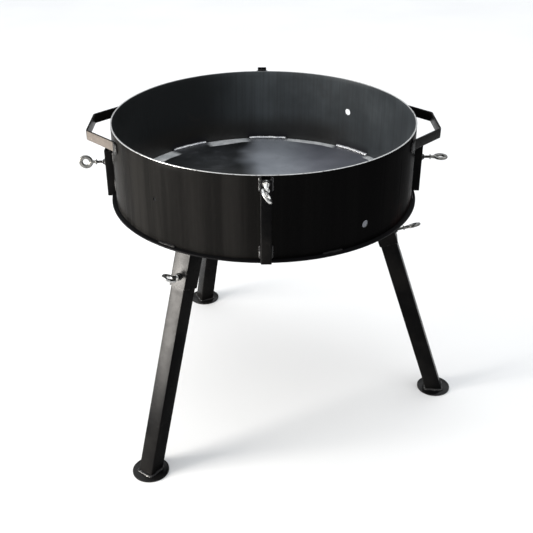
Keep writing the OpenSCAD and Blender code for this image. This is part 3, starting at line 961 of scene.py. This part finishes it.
def nut_beads():
    """A ring of weld round the foot of each nut."""
    heap = Heap()
    radius, x, lean, count = 0.0057, 0.0006, 0.7, 24
    for k, place in enumerate(screw_frames().values()):
        points, crowns = [], []
        for j in range(count):
            a = 2 * math.pi * j / count
            points.append(place @ Vector((x, radius * math.cos(a), radius * math.sin(a))))
            crowns.append(place.to_3x3() @ Vector((lean, math.cos(a), math.sin(a))))
        heap.add(bead(points, 0.0036, 0.0018, random.Random(440 + k), 0.0017, closed=True, up=crowns))
    return heap


def arc(radius, z, start, length, count):
    return [
        Vector((radius * math.cos(a), radius * math.sin(a), z))
        for a in (start + length * k / count for k in range(count + 1))
    ]


def outwards(points, flat, rise):
    """Directions away from the drum's axis by flat and up by rise."""
    out = []
    for p in points:
        d = Vector((p.x, p.y, 0)).normalized() * flat
        out.append(Vector((d.x, d.y, rise)))
    return out


def inside_stitches():
    heap = Heap()
    inset, trim = 0.0017, 0.4
    length = math.radians(STITCH_TURN - 2 * trim)
    for k, start in enumerate(STITCHES):
        points = arc(INNER_R - inset, FLOOR_Z + inset, math.radians(start + trim), length, 40)
        heap.add(bead(points, 0.0082, 0.0030, random.Random(460 + k), 0.0026, up=outwards(points, -1, 1.0)))
    return heap


def outside_stitches():
    heap = Heap()
    out, half_turn = 0.0011, 3.8
    for k in range(6):
        start = LEG_AZ["front_left"] + math.radians(60 * k - half_turn)
        points = arc(DRUM_R + out, FLOOR_Z + out, start, math.radians(2 * half_turn), 20)
        heap.add(bead(points, 0.0060, 0.0022, random.Random(480 + k), 0.0024, up=outwards(points, 1, 1)))
    return heap


def seam_bead():
    """The butt weld that fills the shell's seam, with a bead that stands proud inside."""
    heap = Heap()
    low, high = FLOOR_Z + 0.008, RIM_Z - 0.002
    path = [Vector((0, INNER_R + 0.0006, low + (high - low) * j / 20)) for j in range(21)]
    heap.add(bead(path, 0.0042, 0.0009, random.Random(500), 0.0023, up=Vector((0, -1, 0))))
    strip = []
    for z in (FLOOR_Z, RIM_Z - 0.0003):
        for r in (INNER_R + 0.0004, DRUM_R - 0.00045):
            for x in (-0.0012, 0.0012):
                strip.append(Vector((x, r, z)))
    heap.add((strip, [(0, 1, 3, 2), (4, 6, 7, 5), (0, 4, 5, 1), (2, 3, 7, 6), (0, 2, 6, 4), (1, 5, 7, 3)]))
    return heap


def weld_piece(name, heap, node, material, body="drum"):
    obj = piece(name, heap.verts, heap.faces, body, material, 60.0)
    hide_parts(node)


def make_welds():
    weld_piece("socket_beads", socket_beads(), "socket_welds", WELD)
    weld_piece("handle_beads", handle_beads(), "handle_welds", BRIGHT_WELD)
    weld_piece("leg_sleeve_beads", leg_socket_beads(), "leg_socket_welds", DULL_WELD)
    for k, name in enumerate(LEG_AZ):
        weld_piece("foot_bead_" + name, foot_beads(k, name), "foot_weld_" + name, WELD, "leg_" + name)
    weld_piece("nut_beads", nut_beads(), "nut_welds", WELD)
    weld_piece("floor_beads_inside", inside_stitches(), "floor_welds_inside", BARE)
    weld_piece("floor_beads_outside", outside_stitches(), "floor_welds_outside", DULL_WELD)
    weld_piece("seam_bead", seam_bead(), "seam_weld", SHELL)


make_welds()

# ---------------------------------------------------------------- nuts and eye screws

for node, material in (("socket_nuts", NUT), ("leg_nuts", PAINT)):
    obj = frame["nodes"][node]
    obj.data.materials.clear()
    obj.data.materials.append(material)


def lathe_x(profile, segments=40):
    """Closed solid of revolution about +X from (x, r) points that start and end on the axis."""
    verts, faces = lathe([(r, x) for x, r in profile], segments)
    return [Vector((v.z, v.x, v.y)) for v in verts], faces


def thread(x0, x1, r, pitch):
    """A rod with a true helical ridge between x0 and x1."""
    sides, per, depth, run_out = 28, 6, 0.00055, 0.0008
    steps = int((x1 - x0) / pitch * per)
    verts = []
    for i in range(steps + 1):
        x = x0 + (x1 - x0) * i / steps
        ease = min(1.0, (x - x0) / run_out, (x1 - x) / run_out)
        for k in range(sides):
            a = 2 * math.pi * k / sides
            phase = ((x / pitch) - k / sides) % 1.0
            crest = 1 - abs(2 * phase - 1)
            rad = r - depth + depth * min(max(crest * 1.5 - 0.25, 0), 1) * max(ease, 0)
            verts.append(Vector((x, rad * math.cos(a), rad * math.sin(a))))
    faces = grid_faces(steps + 1, sides, False, True)
    faces.append(tuple(range(sides)))
    faces.append(tuple(range(steps * sides, (steps + 1) * sides)))
    return verts, faces


def eye_ring(r, t):
    """The flat forged ring: a band about the eye's own axis, r in radius, with round edges t thick."""
    band, spread = [], 0.0015
    for middle, turn in ((r + spread, -0.5), (r - spread, 0.5)):
        for k in range(9):
            a = math.pi * (k / 8 + turn)
            band.append((middle + t / 2 * math.cos(a), t / 2 * math.sin(a)))
    return lathe(band, 72)


def soften(obj, voxel, rounds):
    """Melts the joined shapes of a forging together."""
    remesh = obj.modifiers.new("remesh", "REMESH")
    remesh.mode = "VOXEL"
    remesh.voxel_size = voxel
    smooth = obj.modifiers.new("smooth", "SMOOTH")
    smooth.factor = 0.5
    smooth.iterations = rounds
    return bake(obj)


def eye_shape():
    """The eye, neck and collar of one screw, forged as one lump, with the eye's centre at x = 0."""
    r, t, neck, collar = 0.0106, 0.0056, 0.0032, 0.0056
    back = r + 0.0124
    heap = Heap()
    heap.add(eye_ring(r, t))
    rod = [(-back, 0), (-back, neck), (-r - 0.0062, neck), (-r - 0.0026, neck * 1.18)]
    rod += [(-r + 0.0004, neck * 1.02), (-r + 0.0004, 0)]
    heap.add(lathe_x(rod))
    disc = [(-back, 0), (-back, collar - 0.0005), (-back + 0.0005, collar), (-back + 0.0015, collar)]
    disc += [(-back + 0.0022, collar - 0.0008), (-back + 0.0030, neck + 0.0004), (-back + 0.0034, 0)]
    heap.add(lathe_x(disc))
    mesh = bpy.data.meshes.new("eye")
    mesh.from_pydata([tuple(v) for v in heap.verts], [], heap.faces)
    finish_mesh(mesh)
    obj = add_object("eye", mesh)
    done = soften(obj, 0.00036, 3)
    verts = [v.co.copy() for v in done.vertices]
    faces = [tuple(poly.vertices) for poly in done.polygons]
    bpy.data.objects.remove(obj)
    return verts, faces, back


def make_screws():
    verts, faces, back = eye_shape()
    outs = {"front": 0.051, "right": 0.040, "back": 0.040, "left": 0.041}
    outs.update({"leg_front_left": 0.0295, "leg_right": 0.041, "leg_rear": 0.0295})
    turns = {"front": -55, "right": 0, "back": 15, "left": 90}
    turns.update({"leg_front_left": -12, "leg_right": -16, "leg_rear": 10})
    for name, place in screw_frames().items():
        tip = -0.0018 if name in SOCKET_AZ else -0.00235
        turned = place @ Matrix.Rotation(math.radians(turns[name]), 4, "X")
        heap = Heap()
        heap.add((verts, faces), turned @ Matrix.Translation((outs[name], 0, 0)))
        heap.add(thread(tip, outs[name] - back + 0.0004, THREAD_R, THREAD_PITCH), turned)
        metal = ZINC if name in ("front", "leg_front_left") else DULL_ZINC
        obj = piece("eye_bolt_" + name, heap.verts, heap.faces, "screw_" + name, metal, 55.0)
        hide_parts("eye_screw_" + name)


make_screws()

# ---------------------------------------------------------------- floor, light and camera


def stage_floor():
    p = Paint("studio_floor")
    tone = p.mix(p.span(p.noise(1.3, 3.0, 0.5), 0.3, 0.7), (0.80, 0.80, 0.80), (0.84, 0.84, 0.835))
    p.bump((p.noise(300.0, 2.0, 0.5), 0.0001),)
    material = p.set(color=tone, roughness=0.75, level=0.2)
    size = 14.0
    corners = [(-size, -size, 0), (size, -size, 0), (size, size, 0), (-size, size, 0)]
    mesh = bpy.data.meshes.new("studio_floor")
    mesh.from_pydata(corners, [], [(0, 1, 2, 3)])
    mesh.materials.append(material)
    add_object("studio_floor", mesh)


def softbox(name, at, aim, size, power, tint=(1, 1, 1)):
    data = bpy.data.lights.new(name, "AREA")
    data.shape = "RECTANGLE"
    data.size, data.size_y = size
    data.energy = power
    data.color = tint
    obj = add_object(name, data)
    obj.location = at
    obj.rotation_euler = (Vector(aim) - Vector(at)).to_track_quat("-Z", "Y").to_euler()


def set_light():
    world = bpy.data.worlds.new("studio")
    scene.world = world
    world.use_nodes = True
    back = world.node_tree.nodes["Background"]
    back.inputs["Color"].default_value = (0.93, 0.96, 1.0, 1.0)
    back.inputs["Strength"].default_value = 0.30
    softbox("overhead", (0.0, 2.2, 5.2), (0, 2.2, 0.0), (13.0, 13.0), 760, (0.96, 0.98, 1.0))
    softbox("left_window", (-3.2, -0.9, 1.7), (0.1, 0, 0.5), (1.3, 1.5), 75, (1.0, 0.97, 0.93))
    softbox("left_low", (-2.50, -1.05, 0.34), (-0.2, -0.3, 0.34), (0.90, 0.62), 120, (1.0, 0.955, 0.90))


def set_camera():
    data = bpy.data.cameras.new("camera")
    data.lens = 58.74
    data.sensor_width = 36
    data.clip_end = 60
    cam = add_object("camera", data)
    cam.location = (-0.0207, -1.6963, 1.2498)
    cam.rotation_euler = (math.radians(90 - 29.19), 0, math.radians(-0.89))
    scene.camera = cam


stage_floor()
set_light()
set_camera()
scene.view_settings.view_transform = "Standard"
scene.view_settings.look = "None"
